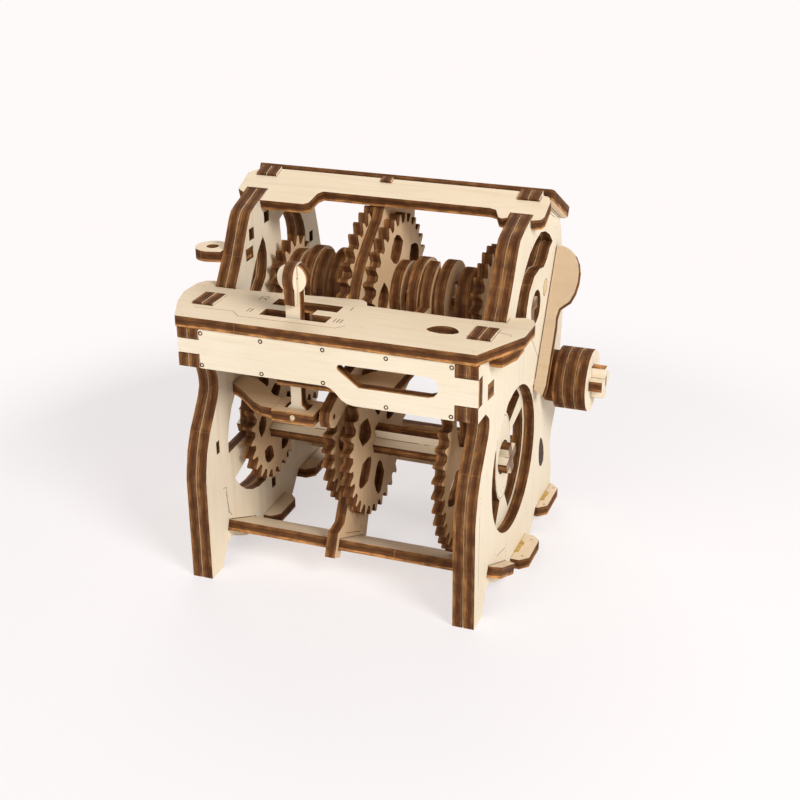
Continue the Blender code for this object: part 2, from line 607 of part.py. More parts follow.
def sleeve(name, left):
    """The sleeve from left on: disc, hub, disc, each its own piece."""
    rim = circle(OUT, SLEEVE_RADIUS, 32)
    plate_x(name + "_disc_left", rim, [keyed], left, left + DISC, LIGHT, out_axis)
    hub_low, hub_high = left + DISC + SEAM, left + DISC + GROOVE - SEAM
    plate_x(name + "_hub", circle(OUT, SLEEVE_HUB, 24), [keyed], hub_low, hub_high, LIGHT, out_axis)
    right = left + DISC + GROOVE
    plate_x(name + "_disc_right", rim, [keyed], right, right + DISC, LIGHT, out_axis)
    return left + DISC + GROOVE / 2


SLEEVE_LONG = 2 * DISC + GROOVE
reverse_side = X_R + PLY + SEAM + DISC
first_side = X_1 - SEAM - DISC
groove_1r = sleeve("sleeve_1r", (reverse_side + first_side - SLEEVE_LONG) / 2)
groove_23 = sleeve("sleeve_23", X_2 + PLY + SEAM + DISC + FACE_GAP)

# Reverse idler on its stub axle
idle_axis = (0, *IDLE)
IDLER_BORE = 4.0
idler_bore = circle(IDLE, (IDLER_BORE + RUNNING) / math.cos(math.pi / 20), 20)
gear("idler_gear", IDLE, IDLER, X_R, idler_tooth, idler_bore, IDLER_BORE + 2, 5, idle_axis)
stub = prism(circle(IDLE, IDLER_BORE, 20), [], -FRAME_OUT, X_R + PLY + SEAM + 2.0, across_x)
add("idler_axle", stub)

# Input shaft, pinion and hand knob
knob_axis = (0, *KNOB)
input_cross = cross(KNOB, CROSS_HALF, ARM_HALF)
plate_x("input_shaft", input_cross, [], MIDDLE_LEFT + 0.2, SHAFT_END, LIGHT, knob_axis)
knob_bore = cross(KNOB, CROSS_HALF + fixed_bore, ARM_HALF + fixed_bore)
pinion_tooth = meshing(toward_out, LAY_3, LAY, PINION, KNOB)
gear("input_pinion", KNOB, PINION, X_3, pinion_tooth, knob_bore, CROSS_RADIUS, 5, knob_axis)
spacer = circle(KNOB, KNOB_SMALL, 28)
plate_x("knob_spacer", spacer, [knob_bore], KNOB_START, KNOB_START + PLY, DARK, knob_axis)
for i in range(KNOB_DISCS):
    left = KNOB_START + (i + 1) * (PLY + SEAM)
    disc = circle(KNOB, KNOB_LARGE, 36)
    plate_x("knob_disc_%d" % (i + 1), disc, [knob_bore], left, left + PLY, LIGHT, knob_axis)

# Side paddle, rocking on its round foot
FOOT_X = 47.3
foot = prism(circle(PADDLE_FOOT, 2.0, 12), [], FOOT_X, PADDLE_X + 2.5, across_x)
lobe = [(0, -3), (3.6, -5), (4.3, -1), (4.3, 21), (4.0, 25), (4.6, 28.5), (8.0, 31.5), (9.4, 35), (10.0, 39)]
lobe += [(9.9, 43), (9.0, 46.5), (7.4, 49.3), (5.2, 51.2), (2.6, 52.2), (0, 52.2)]
paddle_shape = [(PADDLE_X + x, s) for x, s in lobe]
lean = tilted(PADDLE_FOOT, math.pi / 2 - PADDLE_TILT)
paddle = joined(prism(paddle_shape, [], -PLY / 2, PLY / 2, lean), [foot], "UNION")
add("side_paddle", paddle, LIGHT, (PADDLE_X, *PADDLE_FOOT))

# Gate lever: a flat stem with a round head, a crossing piece, a yoke and their pins
lever_axis = (LEVER_X, LEVER_Y, LEVER_PIVOT_Z)
LEVER_THICK = 3.9
FINGER_HALF = 2.0
STEM_HALF = 2.7
LEG_HALF = 4.2
EYE_RADIUS = 4.0
SLIT_HALF = 2.25
LEG_BOTTOM = 109.0


def lever_outline():
    """The stem in (X, Z), from its eye to its head, with the slit that takes the crossing piece."""
    z0, zh = LEVER_PIVOT_Z, LEVER_HEAD_Z
    open_angle = math.degrees(math.asin(SLIT_HALF / LEVER_HEAD))
    base_angle = math.degrees(math.asin(STEM_HALF / LEVER_HEAD))
    eye_angle = math.degrees(math.asin(FINGER_HALF / EYE_RADIUS))
    head_right = arc((LEVER_X, zh), LEVER_HEAD, -90 + base_angle, 90 - open_angle, 10)
    head_left = arc((LEVER_X, zh), LEVER_HEAD, 90 + open_angle, 270 - base_angle, 10)
    right = [(LEVER_X + FINGER_HALF, 93), (LEVER_X + STEM_HALF, 97)]
    left = [(LEVER_X - STEM_HALF, 97), (LEVER_X - FINGER_HALF, 93)]
    slit = [(LEVER_X + SLIT_HALF, zh), (LEVER_X - SLIT_HALF, zh)]
    eye = arc((LEVER_X, z0), EYE_RADIUS, 90 + eye_angle, 450 - eye_angle, 12)
    return right + head_right + slit + head_left + left + eye


stem_low, stem_high = LEVER_Y - LEVER_THICK / 2, LEVER_Y + LEVER_THICK / 2
eye_hole = circle((LEVER_X, LEVER_PIVOT_Z), (PIN + RUNNING) / math.cos(math.pi / 12), 12)
add("lever_stem", prism(lever_outline(), [eye_hole], stem_low, stem_high, across_y), LIGHT, lever_axis)
head_angle = math.degrees(math.asin(LEG_HALF / LEVER_HEAD))
top_part = arc((LEVER_Y, LEVER_HEAD_Z), LEVER_HEAD, -90 + head_angle, 270 - head_angle, 20)
legs = [(LEVER_Y - LEG_HALF, LEG_BOTTOM), (LEVER_Y - SLIT_HALF, LEG_BOTTOM)]
legs += [(LEVER_Y - SLIT_HALF, LEVER_HEAD_Z + SEAM), (LEVER_Y + SLIT_HALF, LEVER_HEAD_Z + SEAM)]
legs += [(LEVER_Y + SLIT_HALF, LEG_BOTTOM), (LEVER_Y + LEG_HALF, LEG_BOTTOM)]
cross_low, cross_high = LEVER_X - LEVER_THICK / 2, LEVER_X + LEVER_THICK / 2
plate_x("lever_cross", top_part + legs, [], cross_low, cross_high, DARK, lever_axis)

YOKE_X, YOKE_Y, YOKE_HALF = 8.0, 6.0, 2.2
yoke = prism(
    rect((LEVER_X - YOKE_X, LEVER_Y - YOKE_Y), (LEVER_X + YOKE_X, LEVER_Y + YOKE_Y)),
    [rect((LEVER_X - 4.6, LEVER_Y - 2.6), (LEVER_X + 4.6, LEVER_Y + 2.6))],
    LEVER_PIVOT_Z - YOKE_HALF,
    LEVER_PIVOT_Z + YOKE_HALF,
    across_z,
)
hole_y = prism(circle((LEVER_X, LEVER_PIVOT_Z), PIN + SEAM, 12), [], 0, 30, across_y)
yoke = joined(yoke, [hole_y], "DIFFERENCE")
pin_x = circle((LEVER_Y, LEVER_PIVOT_Z), PIN, 12)
BRACKET_END = LEVER_X - YOKE_X - SEAM
trunnion_left = prism(pin_x, [], BRACKET_END - 3.5, LEVER_X - 5.5, across_x)
trunnion_right = prism(pin_x, [], LEVER_X + 5.5, MIDDLE_RIGHT - 0.3, across_x)
add("lever_yoke", joined(yoke, [trunnion_left, trunnion_right], "UNION"), LIGHT, lever_axis)
pin_y = circle((LEVER_X, LEVER_PIVOT_Z), PIN, 12)
add("lever_pin", prism(pin_y, [], LEVER_Y - YOKE_Y + 0.2, LEVER_Y + YOKE_Y - 0.2, across_y), DARK, lever_axis)
bracket = [(-FRAME_IN + SEAM, 24.5), (-41, 20.5), (-33, 12.8), (-28.5, 10), (BRACKET_END, 9.5)]
bracket += [(BRACKET_END, 18.5), (-28.5, 20.5), (-35, 27.5), (-40, 31.5), (-FRAME_IN + SEAM, 33)]
bracket_low, bracket_high = LEVER_PIVOT_Z - PLY / 2, LEVER_PIVOT_Z + PLY / 2
bracket = prism(bracket, [], bracket_low, bracket_high, across_z)
socket = prism(trunnion_hole, [], BRACKET_END - 4.0, BRACKET_END + 1.0, across_x)
add("lever_bracket_left", joined(bracket, [socket], "DIFFERENCE"))

# Selector slides and forks
NOTCH = 2.9
selector_23 = [(LEVER_X - 5, 7.5), (groove_23 + 5, 7.5), (groove_23 + 5, 52), (groove_23 - 5, 52)]
selector_23 += [(groove_23 - 5, 22), (groove_23 - 9, 16), (LEVER_X + NOTCH, 16), (LEVER_X + NOTCH, 11.6)]
selector_23 += [(LEVER_X - NOTCH, 11.6), (LEVER_X - NOTCH, 16), (LEVER_X - 5, 16)]
add("selector_23", prism(selector_23, [], SELECTOR_23_Z, SELECTOR_23_Z + PLY, across_z))
NOTCH_1R = 4.4
selector_1r = [(LEVER_X - 7.5, 17.2), (LEVER_X - NOTCH_1R, 17.2), (LEVER_X - NOTCH_1R, 23.6)]
selector_1r += [(LEVER_X + NOTCH_1R, 23.6)]
selector_1r += [(LEVER_X + NOTCH_1R, 17.2), (LEVER_X + 7.5, 17.2), (LEVER_X + 7.5, 28), (groove_1r + 5, 34)]
selector_1r += [(groove_1r + 5, 52), (groove_1r - 5, 52), (groove_1r - 5, 30)]
add("selector_1r", prism(selector_1r, [], SELECTOR_1R_Z, SELECTOR_1R_Z + PLY, across_z))
FORK_INNER, FORK_OUTER = SLEEVE_HUB + 0.5, 14.5


def fork(name, centre_x, foot_z):
    """A fork that stands on a selector and holds the groove of a sleeve from the front."""
    shape = arc(OUT, FORK_OUTER, 100, 178, 10)
    shape += [(47.5, OUT[1] + 0.5), (43, foot_z + 4), (43, foot_z), (52, foot_z)]
    shape += arc(OUT, FORK_OUTER, 208, 262, 6)
    shape += arc(OUT, FORK_INNER, 262, 100, 18)
    plate_x(name, shape, [], centre_x - PLY / 2, centre_x + PLY / 2)


fork("fork_23", groove_23, SELECTOR_23_Z + PLY + SEAM)
fork("fork_1r", groove_1r, SELECTOR_1R_Z + PLY + SEAM)

# The finished object stands at the middle of its own footprint
bpy.context.view_layer.update()
corners = [obj.matrix_world @ Vector(corner) for obj in made for corner in obj.bound_box]
lows = [min(corner[i] for corner in corners) for i in range(3)]
highs = [max(corner[i] for corner in corners) for i in range(3)]
shift = Vector((-(lows[0] + highs[0]) / 2, -(lows[1] + highs[1]) / 2, -lows[2]))
for obj in made:
    obj.location += shift
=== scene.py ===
# %% [markdown]
# # A wooden gearbox model
# The real object is a kit of laser cut plywood. Its solids are already made, so this lesson dresses them:
# it gives each sheet its pale faces and burnt edges, adds the engraved marks, and sets up a plain studio.
# The solids are loaded first. Everything after this shares their frame, in metres.

# %% The solids
import math

import bmesh
import bpy
from mathutils import Matrix, Vector


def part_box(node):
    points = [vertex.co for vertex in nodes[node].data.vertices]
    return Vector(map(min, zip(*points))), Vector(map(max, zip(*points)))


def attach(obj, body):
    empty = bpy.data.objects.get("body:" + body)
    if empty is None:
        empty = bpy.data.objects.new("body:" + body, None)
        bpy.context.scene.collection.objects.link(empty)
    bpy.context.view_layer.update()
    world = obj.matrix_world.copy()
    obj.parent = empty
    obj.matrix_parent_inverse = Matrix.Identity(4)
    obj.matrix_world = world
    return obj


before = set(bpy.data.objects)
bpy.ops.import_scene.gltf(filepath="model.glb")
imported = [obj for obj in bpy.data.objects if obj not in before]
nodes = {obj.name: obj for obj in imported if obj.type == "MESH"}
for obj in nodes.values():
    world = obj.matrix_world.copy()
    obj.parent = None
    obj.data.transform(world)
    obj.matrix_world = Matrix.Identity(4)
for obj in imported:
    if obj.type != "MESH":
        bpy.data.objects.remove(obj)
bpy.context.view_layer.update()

# %% [markdown]
# ## Bench coordinates
# One function turns such a point into a place in the shared frame.

# %% Bench coordinates
BENCH = Vector((-5.3122, -55.8, 0.0))
PLY = 0.004
LOW, HIGH = range(2)
X, Y, Z = range(3)


def bench(x, y, z):
    """A point of the drawing, in millimetres, as a place in metres."""
    return (Vector((x, y, z)) + BENCH) / 1000


def end_of(name, end, axis):
    """Where a solid begins (LOW) or ends (HIGH) along an axis, in millimetres of the drawing."""
    return round(1000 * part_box(name)[end][axis] - BENCH[axis], 3)


PLATE_TOP = end_of("shift_plate", HIGH, Z)
PANEL_FRONT = end_of("front_panel", LOW, Y)
RIGHT_FACE = end_of("right_frame_outer", HIGH, X)
RIGHT_INNER = end_of("right_frame_inner", HIGH, X)
print("plate top:", PLATE_TOP, "panel front:", PANEL_FRONT, "right faces:", RIGHT_FACE, RIGHT_INNER)

# %% [markdown]
# ## Short words for nodes
# A shader is a tree of small nodes, and each one takes three or four lines to make. Here each kind that the
# wood needs gets a short function, so that the finishes below read like sentences. A value may be a number
# or the output of another node.

# %% Making groups
def new_group(name, inputs, outputs):
    """A shader group with these sockets, and its two end nodes."""
    tree = bpy.data.node_groups.new(name, "ShaderNodeTree")
    for label, kind, value in inputs:
        socket = tree.interface.new_socket(label, in_out="INPUT", socket_type=kind)
        socket.default_value = value
    for label, kind in outputs:
        tree.interface.new_socket(label, in_out="OUTPUT", socket_type=kind)
    return tree, tree.nodes.new("NodeGroupInput"), tree.nodes.new("NodeGroupOutput")


def feed(tree, socket, value):
    """Joins a socket to another one, or sets its value."""
    if isinstance(value, bpy.types.NodeSocket):
        tree.links.new(value, socket)
    else:
        socket.default_value = value


def placed(tree, group, **values):
    """The group as a node of this tree, with its values. A label's spaces are written as underscores."""
    node = tree.nodes.new("ShaderNodeGroup")
    node.node_tree = group
    for label, value in values.items():
        feed(tree, node.inputs[label.replace("_", " ")], value)
    return node


print("groups so far:", len(bpy.data.node_groups))

# %% Numbers and places
def own_place(tree):
    """The place on the piece. Every piece sits at the origin, so it is also the place in the shared frame."""
    return tree.nodes.new("ShaderNodeTexCoord").outputs["Object"]


def own_normal(tree):
    return tree.nodes.new("ShaderNodeTexCoord").outputs["Normal"]


def maths(tree, operation, *values, clamp=False):
    node = tree.nodes.new("ShaderNodeMath")
    node.operation = operation
    node.use_clamp = clamp
    for socket, value in zip(node.inputs, values):
        feed(tree, socket, value)
    return node.outputs[0]


def rising(tree, start, rise, mask):
    """The start where the mask is 0, and more by the rise where it is 1."""
    return maths(tree, "ADD", start, maths(tree, "MULTIPLY", mask, rise))


def vectors(tree, operation, first, second=None, scale=None):
    node = tree.nodes.new("ShaderNodeVectorMath")
    node.operation = operation
    feed(tree, node.inputs[0], first)
    if second is not None:
        feed(tree, node.inputs[1], second)
    if scale is not None:
        feed(tree, node.inputs["Scale"], scale)
    return node.outputs["Value"] if operation in ("DOT_PRODUCT", "LENGTH") else node.outputs["Vector"]


print("one ply in mm:", 1000 * PLY)

# %% Patterns and colours
def noise(tree, place, scale, detail=3.0):
    node = tree.nodes.new("ShaderNodeTexNoise")
    feed(tree, node.inputs["Vector"], place)
    feed(tree, node.inputs["Scale"], scale)
    feed(tree, node.inputs["Detail"], detail)
    return node.outputs["Fac"]


def mixed(tree, share, first, second):
    """A colour between two. These numbers are the places of the sockets that a Mix node uses for colours."""
    node = tree.nodes.new("ShaderNodeMix")
    node.data_type = "RGBA"
    feed(tree, node.inputs[0], share)
    feed(tree, node.inputs[6], first)
    feed(tree, node.inputs[7], second)
    return node.outputs[2]


def step(tree, value, low, high):
    """0 below low, 1 above high, and smooth between them."""
    node = tree.nodes.new("ShaderNodeMapRange")
    node.interpolation_type = "SMOOTHSTEP"
    feed(tree, node.inputs["Value"], value)
    node.inputs["From Min"].default_value = low
    node.inputs["From Max"].default_value = high
    return node.outputs[0]


def ramp(tree, value, stops):
    """A grey that goes through these stops, each given as a position and a lightness."""
    node = tree.nodes.new("ShaderNodeValToRGB")
    feed(tree, node.inputs[0], value)
    points = node.color_ramp.elements
    while len(points) < len(stops):
        points.new(0.5)
    for point, (position, grey) in zip(points, stops):
        point.position = position
        point.color = (grey, grey, grey, 1)
    return node.outputs[0]


print("helpers ready for", len(nodes), "pieces")

# %% [markdown]
# ## Birch faces
# Birch veneer is cream with long, faint fibres, a few darker streaks and slow changes of tone. A picture of
# wood would need each sheet unwrapped. Noise needs no unwrapping, and it runs on from face to face. Squeezed
# along the grain it gives the fibres, and the direction is an input, because each sheet lies its own way.

# %% Birch faces
# For each pattern: the noise's scale and detail, where its shade begins and is full, and how much it adds.
FIBRES = (1500.0, 4.0, 0.42, 0.78, 0.30)
STREAKS = (330.0, 3.0, 0.52, 0.80, 0.34)
SLOW_TONE = (22.0, 1.0, 0.35, 0.75, 0.22)


def shade(tree, place, scale, detail, begins, full, most):
    """A noise, and the shade that it adds."""
    pattern = noise(tree, place, scale, detail)
    return pattern, maths(tree, "MULTIPLY", step(tree, pattern, begins, full), most)


birch, birch_in, birch_out = new_group(
    "Birch face",
    [("Stretch", "NodeSocketVector", (0.04, 1, 1)), ("Pale", "NodeSocketColor", (0.80, 0.66, 0.45, 1)),
     ("Streak", "NodeSocketColor", (0.60, 0.44, 0.26, 1))],
    [("Color", "NodeSocketColor"), ("Height", "NodeSocketFloat")],
)
birch_place = own_place(birch)
along = vectors(birch, "MULTIPLY", birch_place, birch_in.outputs["Stretch"])
fibres, share = shade(birch, along, *FIBRES)
for place, pattern in ((along, STREAKS), (birch_place, SLOW_TONE)):
    share = maths(birch, "ADD", share, shade(birch, place, *pattern)[1])
face_colour = mixed(birch, share, birch_in.outputs["Pale"], birch_in.outputs["Streak"])
birch.links.new(face_colour, birch_out.inputs["Color"])
birch.links.new(fibres, birch_out.inputs["Height"])
print("nodes in the birch face:", len(birch.nodes))

# %% [markdown]
# ## Burnt edges
# The laser leaves each edge dark brown, and the three veneers of the sheet show as bands: a golden one at
# the first face, then a dark core and a brown one, with a thin pale line where each face begins. Painting
# the edges by hand would take a mask for each piece. Here the bands follow from the place within the sheet,
# which is measured along the sheet's normal from its first face.

# %% Bands of a burnt edge
BANDS = [(0.0, 0.50), (0.03, 0.20), (0.12, 0.22), (0.28, 0.15), (0.42, 0.10), (0.62, 0.07), (0.76, 0.17),
         (0.97, 0.22), (1.0, 0.50)]
GOLD_ENDS = (0.19, 0.29)
FACE_BEGINS = (0.55, 0.85)
BAND_WOBBLE = 0.05

burnt, burnt_in, burnt_out = new_group(
    "Burnt edge",
    [("Normal", "NodeSocketVector", (1, 0, 0)), ("First face", "NodeSocketFloat", 0.0),
     ("Sheet", "NodeSocketFloat", PLY), ("Gold", "NodeSocketFloat", 0.1)],
    [("Color", "NodeSocketColor"), ("Mask", "NodeSocketFloat"), ("Height", "NodeSocketFloat")],
)
burnt_place, normal = own_place(burnt), burnt_in.outputs["Normal"]
facing = maths(burnt, "ABSOLUTE", vectors(burnt, "DOT_PRODUCT", own_normal(burnt), normal))
edge_mask = maths(burnt, "SUBTRACT", 1.0, step(burnt, facing, *FACE_BEGINS))
through = vectors(burnt, "DOT_PRODUCT", burnt_place, normal)
depth = maths(burnt, "SUBTRACT", through, burnt_in.outputs["First face"])
depth = maths(burnt, "DIVIDE", depth, burnt_in.outputs["Sheet"])
wobble = maths(burnt, "SUBTRACT", noise(burnt, burnt_place, 160.0, 2.0), 0.5)
depth = maths(burnt, "FRACT", rising(burnt, depth, BAND_WOBBLE, wobble))
golden = maths(burnt, "SUBTRACT", 1.0, step(burnt, depth, *GOLD_ENDS))
bands = rising(burnt, ramp(burnt, depth, BANDS), burnt_in.outputs["Gold"], golden)
print("bands:", len(BANDS), "stops through", 1000 * PLY, "mm")

# %% [markdown]
# ## Streaks, soot and nicks
# Soot darkens the edges in patches, streaks run along them, and the laser leaves a few pale nicks across
# them. All three are noise in different places: soot in plain space, streaks in a space that is squeezed
# along the sheet, and nicks in one that is flat through the sheet, so that they cross it from face to face.

# %% Streaks, soot and nicks
SQUEEZE = 0.07
LEAST_STREAK, LEAST_SOOT = 0.45, 0.66
NICK_LIGHT = 0.30
CHARRED, SCORCHED = (0.050, 0.014, 0.005, 1), (0.60, 0.275, 0.09, 1)

across = vectors(burnt, "SCALE", normal, scale=through)
in_plane = vectors(burnt, "SUBTRACT", burnt_place, across)
long_place = vectors(burnt, "ADD", vectors(burnt, "SCALE", in_plane, scale=SQUEEZE), across)
long_streaks = step(burnt, noise(burnt, long_place, 2100.0, 3.0), 0.30, 0.74)
soot = step(burnt, noise(burnt, burnt_place, 230.0, 3.0), 0.30, 0.72)
beam_marks = noise(burnt, in_plane, 700.0, 2.0)
nicks = maths(burnt, "MULTIPLY", step(burnt, beam_marks, 0.70, 0.78), NICK_LIGHT)
lightness = maths(burnt, "MULTIPLY", bands, maths(burnt, "ADD", LEAST_STREAK, long_streaks))
lightness = maths(burnt, "MULTIPLY", lightness, maths(burnt, "ADD", LEAST_SOOT, soot))
lightness = maths(burnt, "ADD", lightness, nicks)
burnt.links.new(mixed(burnt, lightness, CHARRED, SCORCHED), burnt_out.inputs["Color"])
burnt.links.new(edge_mask, burnt_out.inputs["Mask"])
burnt.links.new(beam_marks, burnt_out.inputs["Height"])
print("nodes in the burnt edge:", len(burnt.nodes))

# %% [markdown]
# ## Plywood for one sheet
# Sheets of one kit share their wood, but each lies in its own place, so each piece gets a material of its
# own from the same two groups. The shader itself stays in the material. The bump is a tenth of a millimetre
# at most. The golden veneer is fainter on sheets that face left and right.

# %% Plywood
# Each tone is the wood's pale colour and the colour of its streaks.
CREAM = ((0.86, 0.75, 0.58, 1), (0.71, 0.56, 0.38, 1))
# This darker tone is partly darker ply and partly painted shade for the parts inside the box.
INSIDE_PLY_AND_SHADE = ((0.68, 0.48, 0.29, 1), (0.50, 0.32, 0.17, 1))
WARM = ((0.87, 0.71, 0.51, 1), (0.70, 0.51, 0.33, 1))
# The paddle's tone is darker as painted shade.
PADDLE_SHADE_TONES = ((0.62, 0.47, 0.31, 1), (0.50, 0.36, 0.22, 1))
GRAIN_X, GRAIN_Z = (0.045, 1, 1), (1, 1, 0.045)
GOLD_ACROSS_X, GOLD_ELSEWHERE = 0.1, 0.42
FACE_ROUGH, EDGE_ROUGHER = 0.56, 0.16
SOFT_GLOSS = 0.12
BUMP_DEPTH = 0.0001


def principled(name):
    """A new material, its tree and its shader."""
    material = bpy.data.materials.new(name)
    material.use_nodes = True
    return material, material.node_tree, material.node_tree.nodes["Principled BSDF"]


def finish_wood(tree, shader, colour, roughness, height, strength):
    tree.links.new(colour, shader.inputs["Base Color"])
    tree.links.new(roughness, shader.inputs["Roughness"])
    bump = tree.nodes.new("ShaderNodeBump")
    bump.inputs["Strength"].default_value = strength
    bump.inputs["Distance"].default_value = BUMP_DEPTH
    tree.links.new(height, bump.inputs["Height"])
    tree.links.new(bump.outputs["Normal"], shader.inputs["Normal"])
    shader.inputs["Specular IOR Level"].default_value = SOFT_GLOSS


def plywood(name, sheet_normal, first_face, grain, tones):
    material, tree, shader = principled(name + "_plywood")
    face = placed(tree, birch, Stretch=grain, Pale=tones[0], Streak=tones[1])
    gold = GOLD_ACROSS_X if abs(sheet_normal[X]) > 0.5 else GOLD_ELSEWHERE
    edge = placed(tree, burnt, Normal=sheet_normal, First_face=first_face, Gold=gold)
    mask = edge.outputs["Mask"]
    colour = mixed(tree, mask, face.outputs["Color"], edge.outputs["Color"])
    roughness = rising(tree, FACE_ROUGH, EDGE_ROUGHER, mask)
    height = rising(tree, face.outputs["Height"], edge.outputs["Height"], mask)
    finish_wood(tree, shader, colour, roughness, height, 0.25)
    return material


print("squeeze along the grain:", GRAIN_X[X])

# %% [markdown]
# ## Which way each sheet lies
# Most sheets stand across one of the three axes, and their first face is the low side of their own box. The
# beam, the roof plate, the bottom bar and the paddle lean, so their normals come from their angles. The
# tones differ as well: the frames are cream, the plates and pads warmer, and the wheels inside darker, partly
# from darker ply and partly as painted shade. The paddle's darker tone is painted shade.

# %% Lists of sheets
ACROSS_Y = ["front_panel", "rear_bar", "lever_stem"]
ACROSS_Z = ["shift_plate", "rear_shelf", "ear_plate", "wing_support", "selector_23", "selector_1r"]
ACROSS_Z += ["lever_yoke", "lever_bracket_left"]
ACROSS_Z += ["%s_pad_%s" % (end, side) for end in ("front", "rear") for side in ("left", "right")]
# Each leaning sheet's angle from level, a point (y, z) in it, and how far below it the first face lies.
LEANING = {"top_beam": (17.5, (61.6, 133.1), PLY), "rear_roof_plate": (-28.4, (78.5, 138.0), PLY),
           "bottom_bar": (-24.4, (16.0, 17.0), PLY), "side_paddle": (60.0, (72.5, 65.0), PLY / 2)}
# Each cross section shaft's turn about its own axis, in degrees.
SHAFTS = {"layshaft": 19.4, "output_shaft": 0.0, "input_shaft": 0.0}
ROUND = ["idler_axle", "frame_peg", "lever_pin"]
# The paddle gets the darkest tone, as painted shade.
PADDLE_SHADE_NODES = ("side_paddle",)
# Parts inside the box: their tone is darker ply, with painted shade in it as well.
INSIDE_PLY_AND_SHADE_NODES = ("gear", "lay_gear", "dog_ring", "idler_gear", "reverse_gear", "input_pinion", "sleeve", "fork",
             "selector", "lever_bracket", "lever_yoke", "middle_frame", "rear_shelf", "rear_bar")
WARM_NODES = ("shift_plate", "top_beam", "ear_plate", "wing_support", "front_pad", "rear_pad",
              "rear_roof", "bottom_bar")
print("across y:", len(ACROSS_Y), "across z:", len(ACROSS_Z), "leaning:", len(LEANING))

# %% Dressing the sheets
def tones_of(name):
    for starts, tones in ((PADDLE_SHADE_NODES, PADDLE_SHADE_TONES), (INSIDE_PLY_AND_SHADE_NODES, INSIDE_PLY_AND_SHADE), (WARM_NODES, WARM)):
        if name.startswith(starts):
            return tones
    return CREAM


def dress(name, material):
    mesh = nodes[name].data
    mesh.materials.clear()
    mesh.materials.append(material)


def lie_of(name):
    """The sheet's normal, the place of its first face along that normal, and its grain."""
    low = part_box(name)[LOW]
    if name in LEANING:
        degrees, point, below = LEANING[name]
        angle = math.radians(degrees)
        leaning = Vector((0, -math.sin(angle), math.cos(angle)))
        return leaning, bench(0, *point).dot(leaning) - below, GRAIN_X
    if name in ACROSS_Y:
        return (0, 1, 0), low.y, GRAIN_X
    if name in ACROSS_Z:
        return (0, 0, 1), low.z, GRAIN_X
    return (1, 0, 0), low.x, GRAIN_Z


sheets = [name for name in nodes if name not in SHAFTS and name not in ROUND]
for name in sheets:
    dress(name, plywood(name, *lie_of(name), tones_of(name)))
print("sheets dressed:", len(sheets))

# %% [markdown]
# ## Cross section shafts
# Two strips of plywood slide into each other, so a shaft's section is a plus. The ends of the four arms are
# cut edges and dark, the sides between them are pale, and a thin dark line marks each valley. One normal
# can't tell the arms apart, so the mask measures how far a point is from the shaft's centre, in the shaft's
# own turned axes.

# %% Masks for a shaft
ARM_END = 0.006
ARM_SHADE = (ARM_END - 0.00012, ARM_END - 0.00004)
VALLEY_SHADE = (PLY / 2 + 0.00012, PLY / 2 + 0.00032)

cross_group, cross_in, cross_out = new_group(
    "Cross shaft",
    [("Centre", "NodeSocketVector", (0, 0, 0)), ("Turn", "NodeSocketFloat", 0.0)],
    [("Arm ends", "NodeSocketFloat"), ("Valley", "NodeSocketFloat")],
)
from_centre = vectors(cross_group, "SUBTRACT", own_place(cross_group), cross_in.outputs["Centre"])
turn = cross_group.nodes.new("ShaderNodeVectorRotate")
turn.rotation_type = "X_AXIS"
cross_group.links.new(from_centre, turn.inputs["Vector"])
cross_group.links.new(cross_in.outputs["Turn"], turn.inputs["Angle"])
parts = cross_group.nodes.new("ShaderNodeSeparateXYZ")
cross_group.links.new(turn.outputs[0], parts.inputs[0])
reach = [maths(cross_group, "ABSOLUTE", parts.outputs[axis]) for axis in ("Y", "Z")]
farthest = maths(cross_group, "MAXIMUM", *reach)
arm_ends = step(cross_group, farthest, *ARM_SHADE)
valley = maths(cross_group, "SUBTRACT", 1.0, step(cross_group, farthest, *VALLEY_SHADE))
broken = step(cross_group, noise(cross_group, from_centre, 260.0, 2.0), 0.40, 0.55)
cross_group.links.new(arm_ends, cross_out.inputs["Arm ends"])
cross_group.links.new(maths(cross_group, "MULTIPLY", valley, broken), cross_out.inputs["Valley"])
print("arm ends from the centre in mm:", 1000 * ARM_END)

# %% Dressing the shafts
VALLEY_BROWN, VALLEY_SHARE = (0.16, 0.07, 0.03, 1), 0.7
BURNT_ENDS, END_SHARE = ("layshaft", "output_shaft"), 0.85


def shaft_wood(name, centre, turned):
    material, tree, shader = principled(name + "_plywood")
    face = placed(tree, birch, Stretch=GRAIN_X, Pale=CREAM[0], Streak=CREAM[1])
    edge = placed(tree, burnt, Normal=(0, 0, 1), First_face=centre.z - PLY / 2)
    masks = placed(tree, cross_group, Centre=(0, centre.y, centre.z), Turn=-math.radians(turned))
    colour = mixed(tree, masks.outputs["Arm ends"], face.outputs["Color"], edge.outputs["Color"])
    valley_share = maths(tree, "MULTIPLY", masks.outputs["Valley"], VALLEY_SHARE)
    colour = mixed(tree, valley_share, colour, VALLEY_BROWN)
    if name in BURNT_ENDS:
        end_facing = maths(tree, "ABSOLUTE", vectors(tree, "DOT_PRODUCT", own_normal(tree), (1, 0, 0)))
        cut_end = maths(tree, "MULTIPLY", step(tree, end_facing, 0.8, 0.95), END_SHARE)
        colour = mixed(tree, cut_end, colour, edge.outputs["Color"])
    roughness = rising(tree, FACE_ROUGH, EDGE_ROUGHER, masks.outputs["Arm ends"])
    finish_wood(tree, shader, colour, roughness, face.outputs["Height"], 0.2)
    return material


for name, turned in SHAFTS.items():
    low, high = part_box(name)
    dress(name, shaft_wood(name, (low + high) / 2, turned))
print("shafts dressed:", len(SHAFTS))

# %% [markdown]
# ## Round pieces
# The axle, the peg and the pin are round sticks without a burnt edge. They get the same fibres in a darker
# tone, because a second wood would hardly differ at their size.

